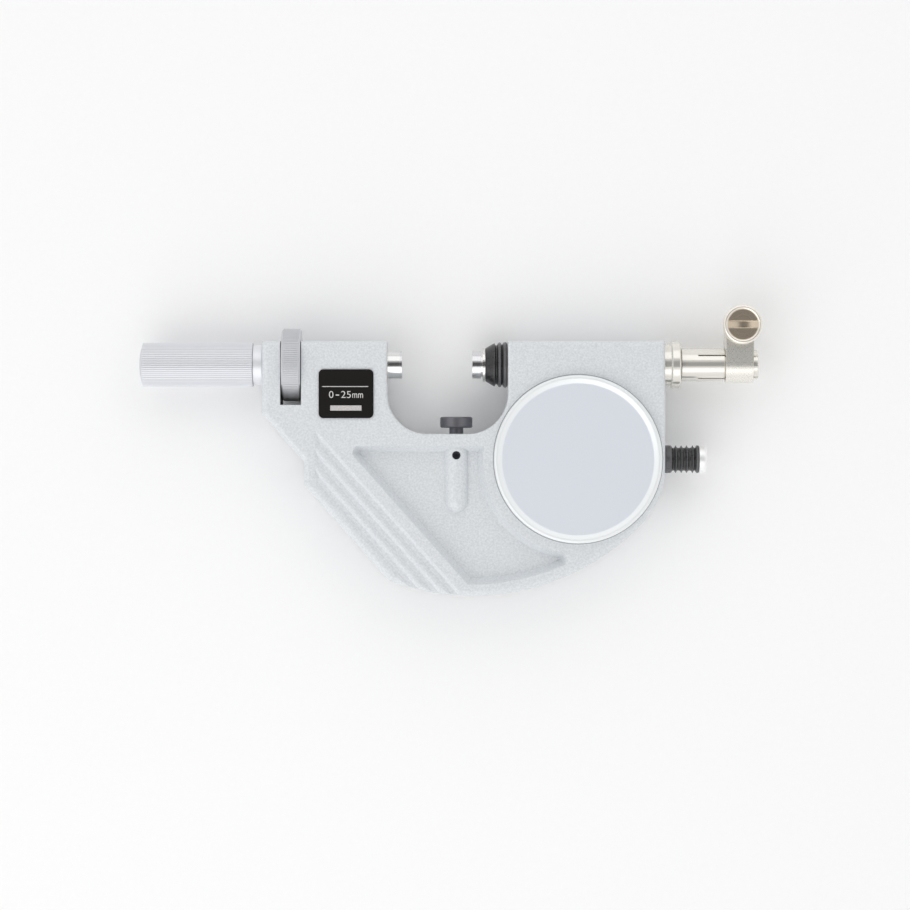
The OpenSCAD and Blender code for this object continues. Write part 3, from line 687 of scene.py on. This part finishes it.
@dataclass
class SpunRubber(SoftPiece):
    """A rubber bellows, spun from a section in shares of its length and of its outer radius."""

    section: Sequence[Pair]
    crests: Pair
    steps: int = 72

    def build(self, rubber: Rubber) -> None:
        """Spins the section and sets it in the place of the solid.

        Args:
            rubber: The finish.
        """
        low, high = corners(self.node)
        centre, radius = middle(self.node), half(self.node).z
        shape = bmesh.new()
        points = [
            shape.verts.new((low.x + along * (high.x - low.x), centre.y, centre.z + outward * radius))
            for along, outward in self.section
        ]
        sides = [shape.edges.new(pair) for pair in zip(points, points[1:] + points[:1])]
        bmesh.ops.spin(
            shape, geom=points + sides, cent=centre, axis=(1, 0, 0), angle=math.tau,
            steps=self.steps, use_merge=True,
        )
        piece = piece_of(self.node + "_rubber", shape, rubber.material(self.crests, self.node), True)
        round_off = piece.modifiers.new("round_off", "SUBSURF")
        round_off.levels = round_off.render_levels = 1
        self.fit(piece, "bellows_rubber")


@dataclass
class WireSpring(SoftPiece):
    """A coil spring with closed end turns."""

    wire: float
    turns: int
    closed_turns: int = 1
    closed_pitch: float = 1.02
    sides: int = 10
    steps: int = 32

    def build(self, material: Material) -> None:
        """Winds the wire and sets it in the place of the solid.

        Args:
            material: The wire's finish.
        """
        low, high = corners(self.node)
        centre = middle(self.node)
        radius = half(self.node).z - self.wire / 2
        shape = bmesh.new()
        start = Matrix.Translation((low.x + self.wire / 2, centre.y, centre.z + radius))
        bmesh.ops.create_circle(
            shape, segments=self.sides, radius=self.wire / 2,
            matrix=start @ Matrix.Rotation(math.pi / 2, 4, "X"),
        )
        end = list(shape.verts) + list(shape.edges)
        closed = (self.closed_turns, self.wire * self.closed_pitch)
        open_length = high.x - low.x - self.wire - 2 * closed[0] * closed[1]
        for turns, pitch in (closed, (self.turns, open_length / self.turns), closed):
            made = bmesh.ops.spin(
                shape, geom=end, cent=centre, axis=(1, 0, 0), dvec=(pitch / self.steps, 0, 0),
                angle=turns * math.tau, steps=turns * self.steps,
            )
            end = made["geom_last"]
        bmesh.ops.holes_fill(shape, edges=[e for e in shape.edges if e.is_boundary], sides=0)
        self.fit(piece_of(self.node + "_wire", shape, material, True), "spring_steel")


@dataclass
class Casting:
    """The cast frame with its cover and seal."""

    enamel: Enamel = Enamel(
        "frame_enamel", pale=(0.785, 0.81, 0.832), shade=(0.65, 0.675, 0.697), roughness=(0.42, 0.6),
        pebble=0.75 * MM, relief=0.034 * MM, edge=0.4 * MM, metallic=0.15)
    lacquer: Satin = Satin(
        "cover_lacquer", pale=(0.81, 0.844, 0.908), shade=(0.792, 0.825, 0.892), roughness=(0.36, 0.44),
        grain=0.25 * MM, relief=0.002 * MM, metallic=0.3, edge=0.5 * MM)
    # The ring slot's walls are painted near-black as shade.
    slot_gap: float = 0.3 * MM
    slot_under: float = 1.55 * MM
    slot_shade_tone: Color = (0.035, 0.036, 0.038)
    # A painted shadow line at the joint round the cover.
    seam_half: float = 0.35 * MM
    seam_shadow_tone: Color = (0.36, 0.37, 0.385)
    # The cover's rim is painted a lighter, neutral tone as its highlight.
    rim_width: float = 3.0 * MM
    rim_fade: float = 0.3 * MM
    rim_highlight_tone: Color = (0.885, 0.908, 0.918)
    seal_crests: Pair = (0.9, 1.0)

    def ring_slot(self) -> Recess:
        """The slot that the adjusting ring turns in, whose walls get painted shade.

        Returns:
            The slot, a little wider and deeper than the ring.
        """
        centre, ring = middle("adjusting_ring"), half("adjusting_ring")
        bottom = centre.y - ring.y - self.slot_under
        return Recess(centre.x, ring.x + self.slot_gap, bottom, self.slot_shade_tone)

    def cover_seam(self) -> Seam:
        """The painted shadow line at the joint between the cover and the casting."""
        centre, radius = middle("front_cover"), half("front_cover").x
        return Seam(Way.OUTWARD, radius, self.seam_half, self.seam_shadow_tone, centre, Axis.Z)

    def cover_rim(self) -> Rim:
        """The raised rim of the cover, painted lighter as its highlight."""
        inner = half("front_cover").x - self.rim_width
        return Rim(inner, inner + self.rim_fade, self.rim_highlight_tone, middle("front_cover"), Axis.Z)

    def dress(self, palette: Palette) -> None:
        """Paints the casting and the cover, and gives the seal its rubber.

        Args:
            palette: The shared finishes.
        """
        coat("frame_casting", self.enamel.material(self.ring_slot(), self.cover_seam()))
        coat("front_cover", self.lacquer.material(self.cover_rim()))
        coat("cover_seal", palette.rubber.material(self.seal_crests, "cover_seal"))


@dataclass
class NamePlate:
    """The black plate with a line, its measuring range and a bare pale panel."""

    black: Satin = Satin(
        "plate_black", pale=(0.012, 0.011, 0.0095), shade=(0.007, 0.0065, 0.006), roughness=(0.4, 0.55),
        grain=0.2 * MM, relief=0.003 * MM, metallic=0.0, specular=0.15)
    ink: Satin = Satin(
        "plate_ink", pale=(0.78, 0.77, 0.75), shade=(0.66, 0.65, 0.64), roughness=(0.45, 0.6),
        grain=0.15 * MM, relief=0.002 * MM, metallic=0.0)
    pale: Satin = Satin(
        "plate_panel", pale=(0.66, 0.63, 0.62), shade=(0.5, 0.475, 0.47), roughness=(0.4, 0.55),
        grain=0.5 * MM, relief=0.002 * MM, metallic=0.1)
    print_t: float = 0.02 * MM
    sink: float = 0.005 * MM
    figure_offset: float = -0.006
    curve_steps: int = 12
    line: Share = (0.064, 0.639, 0.905, 0.654)
    dash: Share = (0.312, 0.461, 0.374, 0.484)
    panel: Share = (0.212, 0.154, 0.782, 0.26)
    words: dict[str, Share] = field(default_factory=lambda: {
        "0": (0.19, 0.413, 0.27, 0.555),
        "25": (0.41, 0.413, 0.588, 0.555),
        "mm": (0.614, 0.413, 0.81, 0.507),
    })

    def spot(self, share: Share) -> tuple[Vector, Vector]:
        """A rectangle of the plate, from shares of its width and height.

        Args:
            share: Left, low, right and top, from 0 to 1.

        Returns:
            The low and high corners of the print there.
        """
        low, high = corners("name_plate")
        size = high - low
        base, top = high.z - self.sink, high.z + self.print_t
        return (
            Vector((low.x + share[0] * size.x, low.y + share[1] * size.y, base)),
            Vector((low.x + share[2] * size.x, low.y + share[3] * size.y, top)),
        )

    def bar(self, shape: Shape, share: Share) -> None:
        """Adds a printed bar to a shape.

        Args:
            shape: The shape that it joins.
            share: Its rectangle, in shares of the plate.
        """
        low, high = self.spot(share)
        block = bmesh.ops.create_cube(shape, size=1.0)["verts"]
        bmesh.ops.scale(shape, verts=block, vec=high - low)
        bmesh.ops.translate(shape, verts=block, vec=(low + high) / 2)

    def word(self, shape: Shape, text: str, share: Share) -> None:
        """Adds figures or letters to a shape, fitted to a rectangle.

        Args:
            shape: The shape that they join.
            text: What is printed.
            share: The rectangle, in shares of the plate.
        """
        curve = bpy.data.curves.new("print_" + text, "FONT")
        curve.body = text
        curve.extrude = 0.5
        curve.resolution_u = self.curve_steps
        curve.offset = self.figure_offset if text.isdigit() else 0.0
        holder = bpy.data.objects.new("print_" + text, curve)
        mesh = bpy.data.meshes.new_from_object(holder)
        before = set(shape.verts)
        shape.from_mesh(mesh)
        new = [v for v in shape.verts if v not in before]
        least = Vector(min(v.co[i] for v in new) for i in range(3))
        most = Vector(max(v.co[i] for v in new) for i in range(3))
        low, high = self.spot(share)
        bmesh.ops.translate(shape, verts=new, vec=-least)
        bmesh.ops.scale(shape, verts=new, vec=[(high - low)[i] / (most - least)[i] for i in range(3)])
        bmesh.ops.translate(shape, verts=new, vec=low)
        bpy.data.objects.remove(holder)
        bpy.data.curves.remove(curve)
        bpy.data.meshes.remove(mesh)

    def build(self) -> None:
        """Dresses the plate and prints on it."""
        coat("name_plate", self.black.material())
        shape = bmesh.new()
        for text, share in self.words.items():
            self.word(shape, text, share)
        self.bar(shape, self.dash)
        self.bar(shape, self.line)
        piece_of("plate_print", shape, self.ink.material(), False)
        shape = bmesh.new()
        self.bar(shape, self.panel)
        piece_of("plate_panel", shape, self.pale.material(), False)


@dataclass
class SpindleUnit:
    """The adjustable spindle, its ring nut and its clamp."""

    ground: Turned = Turned(
        bright=(0.8, 0.8, 0.79), dull=(0.72, 0.72, 0.715), roughness=(0.1, 0.2), pitch=0.12 * MM)
    hard: Turned = Turned(
        bright=(0.74, 0.74, 0.755), dull=(0.66, 0.66, 0.675), roughness=(0.1, 0.18), pitch=0.1 * MM)
    # The sleeve's tones are darkened as painted shade for the flute valleys.
    flutes: Turned = Turned(
        bright=(0.67, 0.68, 0.71), dull=(0.63, 0.64, 0.67), roughness=(0.45, 0.55), pitch=0.22 * MM,
        relief=0.002 * MM, metallic=0.45)
    ring: Turned = Turned(
        bright=(0.66, 0.67, 0.695), dull=(0.62, 0.63, 0.655), roughness=(0.5, 0.6), pitch=0.22 * MM,
        relief=0.002 * MM, metallic=0.55)
    collar: Turned = Turned(
        bright=(0.86, 0.87, 0.9), dull=(0.82, 0.83, 0.86), roughness=(0.4, 0.5), pitch=0.15 * MM,
        metallic=0.6)
    flute_depth: float = 0.16 * MM
    crest_depth: float = 0.03 * MM
    # The flute crests are painted lighter as highlight.
    crest_highlight_tone: Color = (0.83, 0.84, 0.875)

    def flute_crests(self) -> Rim:
        """The crests between the sleeve's flutes, painted lighter as highlight over the sleeve's darker
        tone, which stands as painted shade in the valleys.

        Returns:
            The tone that starts at the bottom of the flutes.
        """
        centre, radius = middle("clamp_sleeve"), half("clamp_sleeve").z
        start, full = radius - self.flute_depth, radius - self.crest_depth
        return Rim(start, full, self.crest_highlight_tone, centre, Axis.X)

    def dress(self, palette: Palette) -> None:
        """Gives the turned pieces on the measuring axis their finishes.

        Args:
            palette: The shared finishes.
        """
        sets = (
            (self.ground.material("ground_spindle", "spindle"), ("spindle", "anvil_shaft")),
            (self.hard.material("lapped_hard_metal", "spindle"), ("spindle_tip", "anvil_tip")),
            (palette.bronze.material("guide_bronze", "spindle"),
             ("spindle_bush", "front_bush", "rear_bush")),
        )
        for material, nodes in sets:
            for node in nodes:
                coat(node, material)
        coat("clamp_sleeve", self.flutes.material("satin_chrome", "spindle", mark=self.flute_crests()))
        coat("adjusting_ring", self.ring.material("satin_ring", "spindle"))
        coat("clamp_collet", self.collar.material("turned_collar", "spindle"))
        coat("spindle_key", palette.plain(palette.blackened))


@dataclass
class AnvilUnit:
    """The sprung anvil with its bellows, ring, spring and stop ring."""

    bellows: SpunRubber = field(default_factory=lambda: SpunRubber(
        "anvil_bellows", "anvil_slide", End.RIGHT, (
            (0.0, 0.725), (0.07, 0.75), (0.18, 0.817), (0.32, 0.902), (0.4, 0.942), (0.435, 0.938),
            (0.452, 0.896), (0.47, 0.851), (0.52, 0.844), (0.545, 0.872), (0.57, 0.933), (0.62, 0.982),
            (0.68, 0.985), (0.72, 0.945), (0.745, 0.878), (0.765, 0.868), (0.785, 0.896), (0.81, 0.957),
            (0.86, 1.0), (0.93, 1.0), (0.975, 0.97), (1.0, 0.927), (1.0, 0.797), (0.77, 0.797),
            (0.5, 0.797), (0.45, 0.84), (0.38, 0.86), (0.17, 0.72), (0.14, 0.618), (0.0, 0.618)),
        crests=(0.92, 0.98)))
    spring: WireSpring = field(default_factory=lambda: WireSpring(
        "anvil_spring", "anvil_slide", End.RIGHT, wire=0.9 * MM, turns=4))
    ring: Turned = Turned(
        bright=(0.8, 0.79, 0.76), dull=(0.74, 0.73, 0.7), roughness=(0.06, 0.14), pitch=0.1 * MM)

    def build(self, palette: Palette) -> None:
        """Makes the bellows and the spring, and dresses the other pieces.

        Args:
            palette: The shared finishes.
        """
        self.bellows.build(palette.rubber)
        self.spring.build(palette.wire.material("drawn_wire", "anvil_spring"))
        coat("bellows_ring", self.ring.material("bright_ring", "bellows_ring"))
        coat("anvil_retainer", palette.plain(palette.blackened))


@dataclass
class ButtonUnit:
    """The retracting button with its bellows, spring and lever."""

    ridges: tuple[float, ...] = (0.333, 0.496, 0.65, 0.821)
    ridge_half: float = 0.045
    ridge_form: tuple[Pair, ...] = (
        (-1.0, 0.81), (-0.45, 0.9), (-0.18, 0.99), (0.18, 0.99), (0.45, 0.9), (1.0, 0.81))
    collar: tuple[Pair, ...] = (
        (0.0, 0.91), (0.015, 0.98), (0.06, 1.0), (0.17, 1.0), (0.205, 0.97), (0.225, 0.86), (0.25, 0.8))
    lip: tuple[Pair, ...] = (
        (0.895, 0.81), (0.912, 0.92), (0.93, 0.99), (0.965, 1.0), (0.99, 0.98), (1.0, 0.92))
    inside: tuple[Pair, ...] = ((1.0, 0.72), (0.18, 0.72), (0.165, 0.804), (0.0, 0.804))
    crests: Pair = (0.84, 0.96)
    spring: WireSpring = field(default_factory=lambda: WireSpring(
        "button_spring", "button_press", End.LEFT, wire=0.6 * MM, turns=6))
    cap: Turned = Turned(
        bright=(0.95, 0.95, 0.955), dull=(0.92, 0.92, 0.925), roughness=(0.34, 0.44), pitch=0.15 * MM,
        metallic=0.6)
    rod: Turned = Turned(
        bright=(0.8, 0.8, 0.79), dull=(0.72, 0.72, 0.715), roughness=(0.12, 0.22), pitch=0.12 * MM)
    pivot: Turned = Turned(
        bright=(0.7, 0.7, 0.69), dull=(0.6, 0.6, 0.595), roughness=(0.2, 0.3), pitch=0.15 * MM)

    def section(self) -> list[Pair]:
        """The bellows' section: a collar, thin ridges, a lip and the inside.

        Returns:
            Points as shares of the length and of the outer radius.
        """
        folds = [
            (ridge + shift * self.ridge_half, radius)
            for ridge in self.ridges
            for shift, radius in self.ridge_form
        ]
        return [*self.collar, *folds, *self.lip, *self.inside]

    def build(self, palette: Palette) -> None:
        """Makes the bellows and the spring, and dresses the other pieces.

        Args:
            palette: The shared finishes.
        """
        bellows = SpunRubber("button_bellows", "button_press", End.LEFT, self.section(), self.crests)
        bellows.build(palette.rubber)
        self.spring.build(palette.wire.material("button_wire", "button_spring"))
        coat("button_cap", self.cap.material("button_chrome", "button_cap"))
        coat("button_rod", self.rod.material("ground_rod", "button_rod"))
        coat("button_bush", palette.bronze.material("button_bronze", "button_bush"))
        coat("lever_pivot", self.pivot.material("pivot_steel", "lever_pivot", Axis.Z))
        coat("lever", palette.plain(palette.nickel))
        coat("button_clip", palette.plain(palette.blackened))


@dataclass
class WorkStop:
    """The stop in the throat and its grub screw."""

    black: Turned = Turned(
        bright=(0.2, 0.2, 0.22), dull=(0.17, 0.17, 0.185), roughness=(0.4, 0.5), pitch=0.2 * MM)

    def dress(self, palette: Palette) -> None:
        """Gives the stop and its screw their blackened finishes."""
        coat("stop_pin", self.black.material("stop_black", "stop_pin", Axis.Y))
        coat("stop_screw", palette.plain(palette.blackened))


@dataclass
class StemClamp:
    """The slit stem holder with its clamp and coin-slot screw."""

    holder: Turned = Turned(
        bright=(0.86, 0.84, 0.78), dull=(0.8, 0.78, 0.725), roughness=(0.12, 0.2), pitch=0.14 * MM,
        metallic=0.65)
    screw: Turned = Turned(
        bright=(0.7, 0.6, 0.475), dull=(0.64, 0.545, 0.425), roughness=(0.26, 0.36), pitch=0.16 * MM,
        edge=0.4 * MM)
    # A painted shadow line where the holder's flange meets its tube.
    groove_from_end: float = 27.49 * MM
    groove_half: float = 0.195 * MM
    groove_shadow_tone: Color = (0.06, 0.057, 0.052)
    # The screw's rim is painted a lighter tone as its highlight.
    dish_r: float = 5.45 * MM
    rim_fade: float = 0.15 * MM
    rim_highlight_tone: Color = (0.92, 0.87, 0.79)

    def groove(self) -> Seam:
        """A narrow painted shadow line between the flange of the holder and its tube."""
        at = half("stem_holder").x - self.groove_from_end
        return Seam(Way.ALONG, at, self.groove_half, self.groove_shadow_tone, middle("stem_holder"), Axis.X)

    def screw_rim(self) -> Rim:
        """The rim round the dished face of the screw, painted lighter as its highlight."""
        full = self.dish_r + self.rim_fade
        return Rim(self.dish_r, full, self.rim_highlight_tone, middle("clamp_screw"), Axis.Z)

    def dress(self, palette: Palette) -> None:
        """Gives the plated pieces their finishes.

        Args:
            palette: The shared finishes.
        """
        coat("stem_holder", self.holder.material("holder_nickel", "stem_holder", mark=self.groove()))
        coat("clamp_block", palette.plain(palette.nickel))
        coat("clamp_screw", self.screw.material("screw_nickel", "clamp_screw", Axis.Z, self.screw_rim()))


@dataclass
class Softbox:
    """A large soft lamp, given by the direction that its light comes from."""

    name: str
    azimuth: float
    elevation: float
    width: float
    height: float
    radiance: float
    distance: float = 1.3

    def build(self, target: Vector) -> None:
        """Hangs the lamp and points it at the gauge.

        Args:
            target: The point that it lights.
        """
        lamp = bpy.data.lights.new(self.name, "AREA")
        lamp.shape = "RECTANGLE"
        lamp.size, lamp.size_y = self.width, self.height
        lamp.energy = self.radiance * math.pi * self.width * self.height
        around, up = math.radians(self.azimuth), math.radians(self.elevation)
        away = Vector((math.cos(around) * math.cos(up), math.sin(around) * math.cos(up), math.sin(up)))
        holder = bpy.data.objects.new(self.name, lamp)
        holder.location = target + away * self.distance
        holder.rotation_euler = away.to_track_quat("Z", "Y").to_euler()
        bpy.context.scene.collection.objects.link(holder)


@dataclass
class Studio:
    """The pale floor, the soft light and the camera straight above the gauge."""

    view_centre: Pair = (-43.57 * MM, 1.5 * MM)
    view_width: float = 325 * MM
    view_reach: float = 20.0
    camera_height: float = 1.2
    sensor: float = 36.0
    floor_size: float = 3.0
    floor_drop: float = 0.1 * MM
    floor_grain: float = 2 * MM
    floor_detail: float = 3.0
    floor_tone: Color = (0.97, 0.97, 0.97)
    floor_shade: Color = (0.96, 0.96, 0.962)
    floor_roughness: Pair = (0.7, 0.85)
    floor_specular: float = 0.2
    tent: float = 0.875
    opening: float = 0.1
    opening_angle: float = 21.0
    opening_edge: float = 3.0
    opening_lean: float = 9.0
    lamps: tuple[Softbox, ...] = (
        Softbox("lamp_front", azimuth=238.0, elevation=42.0, width=1.6, height=1.5, radiance=0.75),
        Softbox("lamp_back", azimuth=85.0, elevation=44.0, width=1.6, height=1.3, radiance=0.4),
    )

    def floor(self) -> None:
        """Lays the floor just under the gauge's back pad."""
        sheet = NodeSheet("floor_paper")
        grain = sheet.noise(sheet.place(), self.floor_grain, self.floor_detail)
        sheet.constants(Metallic=0.0, Specular_IOR_Level=self.floor_specular)
        sheet.tint(grain, "Fac", self.floor_shade, self.floor_tone)
        sheet.gloss(grain, "Fac", self.floor_roughness)
        shape = bmesh.new()
        bmesh.ops.create_grid(shape, x_segments=1, y_segments=1, size=self.floor_size / 2)
        bmesh.ops.translate(shape, verts=shape.verts, vec=(0, 0, -self.floor_drop))
        object_of("floor", shape, sheet.material)

    def sky(self) -> None:
        """Surrounds the gauge with a pale tent that has a darker opening overhead."""
        world = bpy.data.worlds.new("studio")
        world.use_nodes = True
        tree = world.node_tree
        place = tree.nodes.new("ShaderNodeTexCoord")
        lean = tree.nodes.new("ShaderNodeMapping")
        parts = tree.nodes.new("ShaderNodeSeparateXYZ")
        ramp = tree.nodes.new("ShaderNodeValToRGB")
        lean.inputs["Rotation"].default_value = (math.radians(self.opening_lean), 0.0, 0.0)
        angles = (self.opening_angle + self.opening_edge, self.opening_angle)
        for end, angle, tone in zip(ramp.color_ramp.elements, angles, (self.tent, self.opening)):
            end.position = math.cos(math.radians(angle))
            end.color = (tone, tone, tone, 1.0)
        tree.links.new(place.outputs["Generated"], lean.inputs["Vector"])
        tree.links.new(lean.outputs["Vector"], parts.inputs["Vector"])
        tree.links.new(parts.outputs["Z"], ramp.inputs["Fac"])
        tree.links.new(ramp.outputs["Color"], tree.nodes["Background"].inputs["Color"])
        bpy.context.scene.world = world

    def camera(self) -> None:
        """Sets the camera above the gauge, looking straight down at its measuring axis."""
        lens = bpy.data.cameras.new("camera")
        lens.sensor_width = self.sensor
        lens.lens = self.sensor * self.camera_height / self.view_width
        lens.clip_end = self.view_reach
        holder = bpy.data.objects.new("camera", lens)
        holder.location = (*self.view_centre, middle("spindle").z + self.camera_height)
        bpy.context.scene.collection.objects.link(holder)
        bpy.context.scene.camera = holder

    def build(self) -> None:
        """Sets up the floor, the light and the camera."""
        bpy.context.scene.view_settings.view_transform = "Standard"
        self.floor()
        self.sky()
        self.camera()
        for lamp in self.lamps:
            lamp.build(Vector((*self.view_centre, 0.0)))


def main() -> None:
    """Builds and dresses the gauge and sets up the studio."""
    logging.basicConfig(level=logging.INFO, format="%(message)s")
    palette = Palette()
    Studio().build()
    Casting().dress(palette)
    NamePlate().build()
    SpindleUnit().dress(palette)
    AnvilUnit().build(palette)
    ButtonUnit().build(palette)
    WorkStop().dress(palette)
    StemClamp().dress(palette)


if __name__ == "__main__":
    main()
